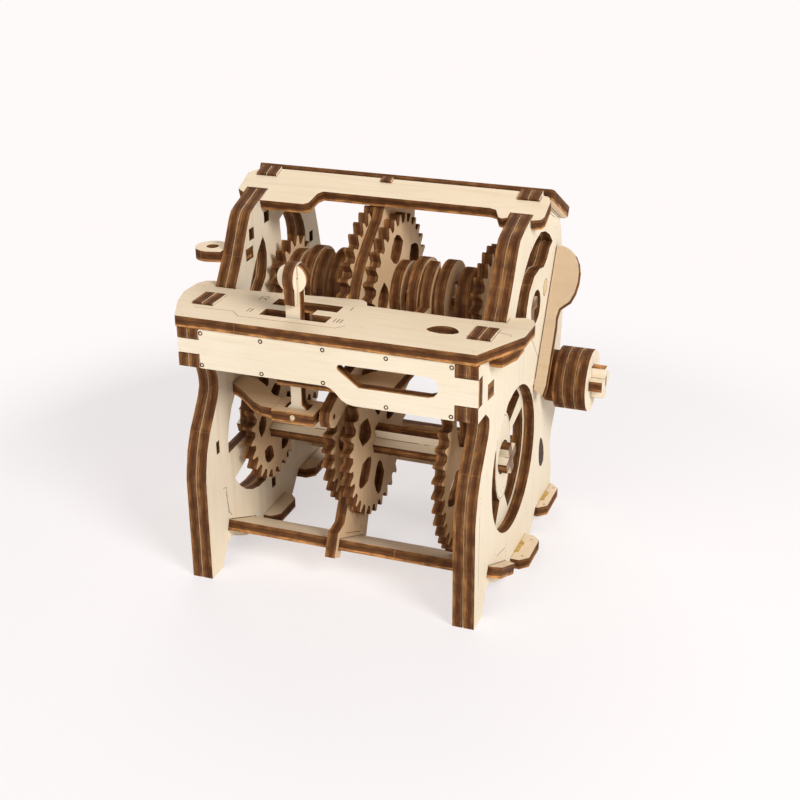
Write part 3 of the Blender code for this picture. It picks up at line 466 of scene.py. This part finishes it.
# %% Round pieces
PEG_PALE, PEG_STREAK = (0.72, 0.55, 0.35, 1), (0.42, 0.27, 0.13, 1)

for name in ROUND:
    material, tree, shader = principled(name + "_wood")
    face = placed(tree, birch, Stretch=GRAIN_X, Pale=PEG_PALE, Streak=PEG_STREAK)
    roughness = rising(tree, 0.5, 0.2, face.outputs["Height"])
    finish_wood(tree, shader, face.outputs["Color"], roughness, face.outputs["Height"], 0.2)
    dress(name, material)
print("materials so far:", len(bpy.data.materials))

# %% [markdown]
# ## Engraved lines
# The laser also draws on the faces: gear numbers by the gate, guide lines, short dashes and small rings.
# They could be part of the plywood's material, but each would need its own mask. Here an engraved line is a
# thin dark strip. A geometry node tree turns plain edges into such strips, so each drawing is only a list of
# points. The strips stand 0.02 mm proud, too little to see from the side.

# %% Scorched colour
SCORCH_DARK, SCORCH_PALE = (0.055, 0.022, 0.010, 1), (0.19, 0.095, 0.045, 1)

engraved, tree, shader = principled("engraved_line")
scorch = noise(tree, own_place(tree), 900.0, 3.0)
scorch_colour = mixed(tree, step(tree, scorch, 0.35, 0.75), SCORCH_DARK, SCORCH_PALE)
tree.links.new(scorch_colour, shader.inputs["Base Color"])
tree.links.new(rising(tree, 0.7, 0.2, scorch), shader.inputs["Roughness"])
print("made:", engraved.name)

# %% A tree of strips
LINE_WIDE, LINE_PROUD = 0.00046, 0.00002


def geometry_tree(name, inputs):
    """A tree with these inputs, a geometry in and out, and a material."""
    tree = bpy.data.node_groups.new(name, "GeometryNodeTree")
    tree.interface.new_socket("Geometry", in_out="INPUT", socket_type="NodeSocketGeometry")
    for label, kind, value in inputs:
        tree.interface.new_socket(label, in_out="INPUT", socket_type=kind).default_value = value
    tree.interface.new_socket("Material", in_out="INPUT", socket_type="NodeSocketMaterial")
    tree.interface.new_socket("Geometry", in_out="OUTPUT", socket_type="NodeSocketGeometry")
    return tree, tree.nodes.new("NodeGroupInput"), tree.nodes.new("NodeGroupOutput")


def circle(tree, sides, radius):
    """A circle of this many sides. With 4 it is the section of a strip."""
    node = tree.nodes.new("GeometryNodeCurvePrimitiveCircle")
    node.inputs["Resolution"].default_value = sides
    feed(tree, node.inputs["Radius"], radius)
    return node.outputs[0]


def paint(tree, geometry, tree_in, tree_out):
    """Ends a tree: copies become plain mesh, and everything gets the material."""
    realise = tree.nodes.new("GeometryNodeRealizeInstances")
    coat = tree.nodes.new("GeometryNodeSetMaterial")
    tree.links.new(geometry, realise.inputs[0])
    tree.links.new(realise.outputs[0], coat.inputs["Geometry"])
    tree.links.new(tree_in.outputs["Material"], coat.inputs["Material"])
    tree.links.new(coat.outputs[0], tree_out.inputs["Geometry"])


strips, strips_in, strips_out = geometry_tree("Engraved strips", [("Width", "NodeSocketFloat", LINE_WIDE)])
to_curve = strips.nodes.new("GeometryNodeMeshToCurve")
to_strip = strips.nodes.new("GeometryNodeCurveToMesh")
strip_half = maths(strips, "MULTIPLY", strips_in.outputs["Width"], 0.5)
strips.links.new(strips_in.outputs["Geometry"], to_curve.inputs[0])
strips.links.new(to_curve.outputs[0], to_strip.inputs["Curve"])
strips.links.new(circle(strips, 4, strip_half), to_strip.inputs["Profile Curve"])
to_strip.inputs["Fill Caps"].default_value = True
paint(strips, to_strip.outputs[0], strips_in, strips_out)
print("line in mm:", 1000 * LINE_WIDE)

# %% [markdown]
# ## From drawing to strips
# The tree is run once for each drawing, its result becomes a plain mesh, and the strips are pressed flat
# against their face. A face is a point on it and its two directions, with the normal that these give.

# %% Running a tree
def add_object(name, data):
    made = bpy.data.objects.new(name, data)
    bpy.context.scene.collection.objects.link(made)
    return made


def plain_mesh(name, source_mesh, tree, values, material):
    """The mesh that the tree makes from this one, as an object with no modifier."""
    source = add_object(name + "_source", source_mesh)
    modifier = source.modifiers.new("tree", "NODES")
    modifier.node_group = tree
    for item in tree.interface.items_tree:
        if item.in_out == "INPUT" and item.name in values:
            modifier[item.identifier] = values[item.name]
        if item.in_out == "INPUT" and item.name == "Material":
            modifier[item.identifier] = material
    graph = bpy.context.evaluated_depsgraph_get()
    mesh = bpy.data.meshes.new_from_object(source.evaluated_get(graph))
    mesh.name = name
    bpy.data.objects.remove(source)
    return add_object(name, mesh)


def press(made, origin, normal):
    """Flattens the strips, so that they stand LINE_PROUD to both sides of the face."""
    for vertex in made.data.vertices:
        off = (vertex.co - origin).dot(normal)
        vertex.co -= normal * (off - (LINE_PROUD if off > 0 else -LINE_PROUD))


def part_of_frame(made):
    """The piece rides on the frame."""
    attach(made, "frame")


print("strips stand proud in mm:", 1000 * LINE_PROUD)

# %% Drawing on a face
def level_face(z):
    """A face that looks up, drawn with x to the right."""
    return bench(0, 0, z), Vector((1, 0, 0)), Vector((0, 1, 0))


def side_face(x):
    """A face that looks to the right, drawn with y to the right."""
    return bench(x, 0, 0), Vector((0, 1, 0)), Vector((0, 0, 1))


def drawing(name, face, lines, width=LINE_WIDE):
    """Strips along these polylines, given in millimetres of the face's own two directions."""
    origin, right, up = face
    points, edges = [], []
    for line in lines:
        edges += [(len(points) + i, len(points) + i + 1) for i in range(len(line) - 1)]
        points += [origin + right * (u / 1000) + up * (v / 1000) for u, v in line]
    source_mesh = bpy.data.meshes.new(name + "_lines")
    source_mesh.from_pydata(points, edges, [])
    made = plain_mesh(name, source_mesh, strips, {"Width": width}, engraved)
    press(made, origin, right.cross(up))
    part_of_frame(made)
    print(name + ":", len(lines), "lines")


def oval(centre, across, tall, sides=12):
    """A closed line round the centre, with these two radii."""
    turns = [2 * math.pi * i / sides for i in range(sides + 1)]
    return [(centre[0] + across * math.cos(t), centre[1] + tall * math.sin(t)) for t in turns]


def dash(centre, half, turned=0.0):
    c, s = half * math.cos(turned), half * math.sin(turned)
    return [(centre[0] - c, centre[1] - s), (centre[0] + c, centre[1] + s)]


# %% [markdown]
# ## The shift plate
# The gate has a number at each end of its rows: R and I behind, II and III in front. A font would give
# outlines, and these are single strokes, so the numbers are drawn as lines. A stepped line runs in front of
# them, and short dashes show where the plate meets its neighbours.

# %% Gear numbers
NUMBER_WIDE = 0.0007
STROKE_GAP, STROKE_TALL = 1.25, 3.4
R_AT = (-33.0, 26.4)
NUMBERS_AT = ((1, (0.5, 26.5)), (2, (-32.7, 13.9)), (3, (0.35, 14.2)))
LETTER_R = [[(-1.3, -1.9), (-1.3, 1.9), (0.5, 1.9), (1.3, 1.3), (1.3, 0.5), (0.5, 0.0), (-1.3, 0.0)],
            [(0.1, 0.0), (1.5, -1.9)]]


def numeral(strokes, centre):
    """Upright strokes, for I, II and III."""
    places = [centre[0] + (i - (strokes - 1) / 2) * STROKE_GAP for i in range(strokes)]
    return [[(x, centre[1] - STROKE_TALL / 2), (x, centre[1] + STROKE_TALL / 2)] for x in places]


number_lines = [[(R_AT[0] + x, R_AT[1] + y) for x, y in line] for line in LETTER_R]
for strokes, centre in NUMBERS_AT:
    number_lines += numeral(strokes, centre)
drawing("gate_numbers", level_face(PLATE_TOP), number_lines, NUMBER_WIDE)

# %% Guide lines on the shift plate
stepped_line = [(-52.3, 10.2), (-37.9, 11.0), (-34.1, 7.2), (1.9, 7.7), (4.4, 10.6)]
plate_lines = [[(52.3, 22.6), (60.2, 21.0)], stepped_line, [(46.6, 15.4), (52.5, 15.4)]]
plate_lines += [dash(at, 0.28) for at in [
    (-53.5, 3.0), (-52.2, 10.4), (-58.0, 20.0), (-59.6, 31.0), (-30.0, 30.0), (14.0, 31.0), (52.4, 3.0),
    (60.0, 20.0), (10.4, 10.8), (44.0, 28.5)]]
drawing("plate_marks", level_face(PLATE_TOP), plate_lines)

# %% [markdown]
# ## Rings on the front panel
# Small engraved rings sit along the panel's upper and lower edges. They repeat, so a tree sets one ring on
# each point of a mesh. The ring is a flat strip, as the other marks are.

# %% A tree of rings
RING_RADIUS, RING_SIDES = 0.00062, 14

rings, rings_in, rings_out = geometry_tree("Rings on points", [
    ("Radius", "NodeSocketFloat", RING_RADIUS), ("Width", "NodeSocketFloat", LINE_WIDE),
    ("Turn", "NodeSocketVector", (math.pi / 2, 0, 0))])
swept = rings.nodes.new("GeometryNodeCurveToMesh")
ring_half = maths(rings, "MULTIPLY", rings_in.outputs["Width"], 0.5)
rings.links.new(circle(rings, RING_SIDES, rings_in.outputs["Radius"]), swept.inputs["Curve"])
rings.links.new(circle(rings, 4, ring_half), swept.inputs["Profile Curve"])
to_rotation = rings.nodes.new("FunctionNodeEulerToRotation")
rings.links.new(rings_in.outputs["Turn"], to_rotation.inputs[0])
on_points = rings.nodes.new("GeometryNodeInstanceOnPoints")
rings.links.new(rings_in.outputs["Geometry"], on_points.inputs["Points"])
rings.links.new(swept.outputs[0], on_points.inputs["Instance"])
rings.links.new(to_rotation.outputs[0], on_points.inputs["Rotation"])
paint(rings, on_points.outputs[0], rings_in, rings_out)
print("ring radius in mm:", 1000 * RING_RADIUS)

# %% Rings on the front panel
UPPER_ROW = [(x, 98.1) for x in (-45.9, -23.1, -0.1, 22.7, 45.7)]
LOWER_ROW = [(-46.06, 86.24), (-23.17, 86.08), (-0.19, 86.03), (22.59, 80.36), (45.58, 80.41)]

ring_points = bpy.data.meshes.new("panel_ring_points")
ring_points.from_pydata([bench(x, PANEL_FRONT, z) for x, z in UPPER_ROW + LOWER_ROW], [], [])
panel_rings = plain_mesh("panel_rings", ring_points, rings, {}, engraved)
press(panel_rings, bench(0, PANEL_FRONT, 0), Vector((0, 1, 0)))
part_of_frame(panel_rings)
print("rings:", len(UPPER_ROW + LOWER_ROW))

# %% [markdown]
# ## The right side frame
# Its outer face has guide lines near the front edge and under the roof plate, and upright dashes beside each
# joint. The inner ply carries the hub, with a long oval round it. The strips of the shift plate serve here
# too, on a face that looks to the right.

# %% Marks on the right side frame
UPRIGHT = math.pi / 2
HUB = [(end_of("layshaft", LOW, axis) + end_of("layshaft", HIGH, axis)) / 2 for axis in (Y, Z)]

side_lines = [[(4.8, 42.6), (4.4, 14.4)], [(26.5, 15.2), (37.0, 13.0)], [(84.6, 129.0), (99.0, 121.4)],
              [(85.4, 127.2), (93.0, 123.2)], [(64.8, 86.0), (79.0, 70.4)]]
side_lines += [dash(at, 0.3, UPRIGHT) for at in [
    (5.9, 47.2), (5.9, 49.2), (4.5, 8.4), (4.5, 10.2), (24.6, 14.2), (24.6, 17.0), (38.6, 10.6), (38.6, 13.2),
    (65.8, 11.9), (56.0, 117.6), (50.0, 112.8), (61.0, 121.4), (44.6, 104.6), (95.8, 118.4), (20.6, 97.6),
    (12.5, 97.0), (92.0, 76.0), (96.0, 54.0), (78.6, 88.6), (69.6, 84.0), (86.0, 112.0), (63.0, 101.0)]]
drawing("right_frame_marks", side_face(RIGHT_FACE), side_lines)
hub_dots = [(HUB[0] + dy, HUB[1] + dz) for dz in (-13.4, 13.4) for dy in (-1.8, 1.8)]
hub_lines = [oval(HUB, 8.9, 16.6, 36)] + [dash(dot, 0.3, UPRIGHT) for dot in hub_dots]
drawing("hub_marks", side_face(RIGHT_INNER), hub_lines)

# %% [markdown]
# ## Tenon, and painted shade in the slot of the right side frame
# The end of a plate shows beside the front panel, flush with the frame and burnt like any cut edge. Low
# behind the wheel is a slot shaped like a leaf; it is not cut, and a near-black plate paints the shade inside
# it. Cutting the frame's own mesh would change a solid, so both are thin closed plates here, hardly proud of
# the face.

# %% Materials of the tenon and of the slot's painted shade
TENON = [(11.5, 83.2), (18.5, 82.6), (18.5, 88.4), (11.5, 89.0)]
# The slot's two near-black colours are painted shade inside the opening.
SLOT_SHADE_DARK, SLOT_SHADE_LIGHT = (0.012, 0.004, 0.002, 1), (0.07, 0.026, 0.009, 1)

burnt_end, tree, shader = principled("burnt_end")
end_grain = placed(tree, burnt, Normal=(0, 0, 1), First_face=bench(0, *TENON[0]).z, Gold=0.15)
end_roughness = rising(tree, 0.6, 0.2, end_grain.outputs["Height"])
finish_wood(tree, shader, end_grain.outputs["Color"], end_roughness, end_grain.outputs["Height"], 0.2)

# The slot's plate is near-black as painted shade.
painted_slot_shade, tree, shader = principled("painted_slot_shade")
slot_shade_noise = noise(tree, own_place(tree), 300.0, 2.0)
tree.links.new(mixed(tree, slot_shade_noise, SLOT_SHADE_DARK, SLOT_SHADE_LIGHT), shader.inputs["Base Color"])
shader.inputs["Roughness"].default_value = 0.8
print("made:", burnt_end.name, painted_slot_shade.name)

# %% Tenon, and the slot's painted shade
INLAY_SUNK, INLAY_PROUD = 0.01, 0.02
LEAF = [(84.2, 36.9), (86.6, 34.6), (88.4, 31.4), (89.6, 27.6), (89.2, 24.4), (87.0, 23.3), (84.4, 24.0),
        (82.6, 26.6), (81.9, 30.2), (82.0, 34.0), (82.8, 36.4)]


def closed_piece(name, built, material):
    """The built shell as a piece of the frame, with its faces pointing outwards."""
    bmesh.ops.recalc_face_normals(built, faces=built.faces)
    mesh = bpy.data.meshes.new(name)
    built.to_mesh(mesh)
    built.free()
    mesh.materials.append(material)
    part_of_frame(add_object(name, mesh))
    print(name + ":", len(mesh.polygons), "faces")


def bridge(built, first, second):
    """Faces between two rings of corners."""
    for i in range(len(first)):
        j = (i + 1) % len(first)
        built.faces.new((first[i], first[j], second[j], second[i]))


def inlay(name, outline, material):
    """A thin closed plate with this outline (y, z) in the right frame's outer face."""
    built = bmesh.new()
    lower = [built.verts.new(bench(RIGHT_FACE - INLAY_SUNK, y, z)) for y, z in outline]
    upper = [built.verts.new(bench(RIGHT_FACE + INLAY_PROUD, y, z)) for y, z in outline]
    built.faces.new(lower)
    built.faces.new(upper)
    bridge(built, lower, upper)
    closed_piece(name, built, material)


inlay("front_tenon", TENON, burnt_end)
# The slot is not cut: this plate paints the shade inside it.
inlay("rear_slot_shade", LEAF, painted_slot_shade)

# %% [markdown]
# ## The left and the middle frame
# Seen through the open front, the left frame's inner face has a long bracket shaped mark and a line over the
# bottom bar. The middle frame has three short strokes, a dash and a long line.

# %% Marks on the left and the middle frame
LEFT_INNER = end_of("left_frame_inner", HIGH, X)
MIDDLE_FACE = end_of("middle_frame", HIGH, X)

left_lines = [[(12.6, 31.6), (15.0, 31.2), (15.6, 20.6), (18.2, 18.0)], [(17.6, 16.4), (34.0, 8.6)],
              [(14.4, 29.6), (16.6, 20.0)]]
drawing("left_frame_marks", side_face(LEFT_INNER), left_lines, 0.0005)
middle_lines = [[(y, 19.4 - 0.35 * (y - 30)), (y, 15.6 - 0.35 * (y - 30))] for y in (30.2, 31.7, 33.2)]
middle_lines += [dash((37.0, 11.6), 0.9, UPRIGHT), [(22.0, 16.4), (36.0, 9.8)]]
drawing("middle_frame_marks", side_face(MIDDLE_FACE), middle_lines)

# %% [markdown]
# ## Feet
# Each pad has a small hole mark at both ends, and beside the frame a strip of amber, where resin or glue
# squeezed out and dried. The strip could be a bent curve with a round section. A row of listed sections
# gives it a flat underside and an uneven outline, so it is built that way.

# %% Amber
AMBER_DARK, AMBER_PALE = (0.46, 0.24, 0.03, 1), (0.66, 0.44, 0.12, 1)

amber, tree, shader = principled("dried_glue")
blotch = noise(tree, own_place(tree), 500.0, 3.0)
blotch_colour = mixed(tree, step(tree, blotch, 0.3, 0.7), AMBER_DARK, AMBER_PALE)
tree.links.new(blotch_colour, shader.inputs["Base Color"])
tree.links.new(rising(tree, 0.2, 0.3, blotch), shader.inputs["Roughness"])
print("made:", amber.name)

# %% Glue beads and marks on the pads
BEAD_STEPS = 14
BEAD_ROUND, BEAD_WAVE = 0.35, 0.2
HOLE_RADIUS = 0.35
FRONT_TOP, REAR_TOP = end_of("front_pad_right", HIGH, Z), end_of("rear_pad_right", HIGH, Z)


def glue_bead(name, side, low, high, top):
    """A low bead along the frame's outer face, on the pad's top. Its section swells and thins along it."""
    built = bmesh.new()
    rows = []
    for i in range(BEAD_STEPS + 1):
        share = i / BEAD_STEPS
        swell = math.sin(math.pi * share) ** BEAD_ROUND * (1 + BEAD_WAVE * math.sin(9 * share + side))
        y = low + (high - low) * share
        section = [(0.05, 0.02), (0.05, 0.32 * swell), (0.9 * swell, 0.26 * swell), (1.7 * swell + 0.1, 0.02)]
        rows.append([built.verts.new(bench(side * (RIGHT_FACE + x), y, top + z)) for x, z in section])
    for first, second in zip(rows, rows[1:]):
        bridge(built, first, second)
    built.faces.new(rows[0])
    built.faces.new(rows[-1])
    closed_piece(name, built, amber)


for side, word in ((1, "right"), (-1, "left")):
    glue_bead("glue_front_" + word, side, 50.0, 60.0, FRONT_TOP)
    glue_bead("glue_rear_" + word, side, 86.0, 95.0, REAR_TOP)
    front_holes = [oval((side * 58.6, y), HOLE_RADIUS, HOLE_RADIUS, 8) for y in (48.6, 61.4)]
    drawing("front_pad_marks_" + word, level_face(FRONT_TOP), front_holes)
    rear_holes = [oval((side * 57.4, y), HOLE_RADIUS, HOLE_RADIUS, 8) for y in (83.6, 98.4)]
    drawing("rear_pad_marks_" + word, level_face(REAR_TOP), rear_holes)

# %% [markdown]
# ## Floor
# The photograph has a nearly white ground that the model's shadow just tints. More light would bleach the
# wood as well, so the floor glows by itself instead, but only to rays that come from the camera. The glow
# grows with the distance from the model, and near it part of the shadow stays.

# %% Floor
PAPER_WHITE = (1.0, 0.953, 0.953, 1)
FLOOR_COLOUR = (0.96, 0.94, 0.94, 1)
FLOOR_HALF = 3
GLOW_GROWS, LEAST_GLOW = (0.09, 0.27), 0.6


def seen_directly(tree):
    """1 for rays that come from the camera or by way of a mirror or glass, and 0 for the rest."""
    path = tree.nodes.new("ShaderNodeLightPath")
    mirror = maths(tree, "ADD", path.outputs["Is Camera Ray"], path.outputs["Is Glossy Ray"])
    return maths(tree, "ADD", mirror, path.outputs["Is Transmission Ray"], clamp=True)


floor_material, tree, shader = principled("stage")
shader.inputs["Base Color"].default_value = FLOOR_COLOUR
shader.inputs["Roughness"].default_value = 0.9
shader.inputs["Specular IOR Level"].default_value = 0.0
glow = tree.nodes.new("ShaderNodeEmission")
glow.inputs["Color"].default_value = PAPER_WHITE
away = vectors(tree, "LENGTH", own_place(tree))
white_share = maths(tree, "MAXIMUM", LEAST_GLOW, step(tree, away, *GLOW_GROWS))
blend = tree.nodes.new("ShaderNodeMixShader")
tree.links.new(maths(tree, "MULTIPLY", white_share, seen_directly(tree)), blend.inputs[0])
tree.links.new(shader.outputs[0], blend.inputs[1])
tree.links.new(glow.outputs[0], blend.inputs[2])
tree.links.new(blend.outputs[0], tree.nodes["Material Output"].inputs["Surface"])

corners = [(-FLOOR_HALF, -FLOOR_HALF, 0), (FLOOR_HALF, -FLOOR_HALF, 0), (FLOOR_HALF, FLOOR_HALF, 0),
           (-FLOOR_HALF, FLOOR_HALF, 0)]
floor_mesh = bpy.data.meshes.new("floor")
floor_mesh.from_pydata(corners, [], [(0, 1, 2, 3)])
floor_mesh.materials.append(floor_material)
add_object("floor", floor_mesh)
print("floor in m:", 2 * FLOOR_HALF)

# %% [markdown]
# ## Lights
# Three large soft lamps light the model: the strong one stands to the right, so the right hand faces come out
# nearly white, as in the photograph. The sky is weak as a light, so that the inside stays dark, and white
# where the camera sees it.

# %% Lights
SKY_LIGHT = 0.25
SKY_TINT = (1.0, 0.985, 0.97, 1)
LAMP_AIM = Vector((0, 0, 0.06))

world = bpy.data.worlds.new("studio")
bpy.context.scene.world = world
world.use_nodes = True
sky_tree = world.node_tree
sky = sky_tree.nodes["Background"]
seen = seen_directly(sky_tree)
sky_tree.links.new(mixed(sky_tree, seen, SKY_TINT, PAPER_WHITE), sky.inputs["Color"])
sky_tree.links.new(rising(sky_tree, SKY_LIGHT, 1 - SKY_LIGHT, seen), sky.inputs["Strength"])


def soft_lamp(name, place, size, power):
    lamp = bpy.data.lights.new(name, "AREA")
    lamp.shape = "DISK"
    lamp.size = size
    lamp.energy = power
    holder = add_object(name, lamp)
    holder.location = place
    holder.rotation_euler = (LAMP_AIM - Vector(place)).to_track_quat("-Z", "Y").to_euler()


soft_lamp("key", (0.85, -0.55, 0.75), 0.5, 11.5)
soft_lamp("front", (-0.35, -1.1, 0.6), 0.8, 4.6)
soft_lamp("back", (-0.4, 0.9, 0.9), 0.9, 5.0)
print("lamps:", len(bpy.data.lights))

# %% [markdown]
# ## Camera
# The photograph was taken from the front, a little to the right and above. Its place, its three angles and
# its lens were worked out from the photograph's perspective, so that the picture can be laid over it.

# %% Camera
TURN, TILT, ROLL = math.radians(20.49635), math.radians(24.21374), math.radians(-0.43013)
CAMERA_AT = (182.174, -412.326, 282.364)
LENS, SENSOR = 65.296, 36.0

forward = Vector((-math.sin(TURN) * math.cos(TILT), math.cos(TURN) * math.cos(TILT), -math.sin(TILT)))
sideways = Vector((math.cos(TURN), math.sin(TURN), 0))
upward = sideways.cross(forward)
camera_right = sideways * math.cos(ROLL) + upward * math.sin(ROLL)
camera_up = upward * math.cos(ROLL) - sideways * math.sin(ROLL)
camera_data = bpy.data.cameras.new("camera")
camera_data.lens = LENS
camera_data.sensor_width = SENSOR
camera_data.clip_start = 0.01
camera = add_object("camera", camera_data)
columns = Matrix((camera_right, camera_up, -forward)).transposed()
camera.matrix_world = Matrix.Translation(bench(*CAMERA_AT)) @ columns.to_4x4()
bpy.context.scene.camera = camera
bpy.context.scene.view_settings.view_transform = "Standard"
print("camera at:", [round(v, 3) for v in camera.matrix_world.translation])
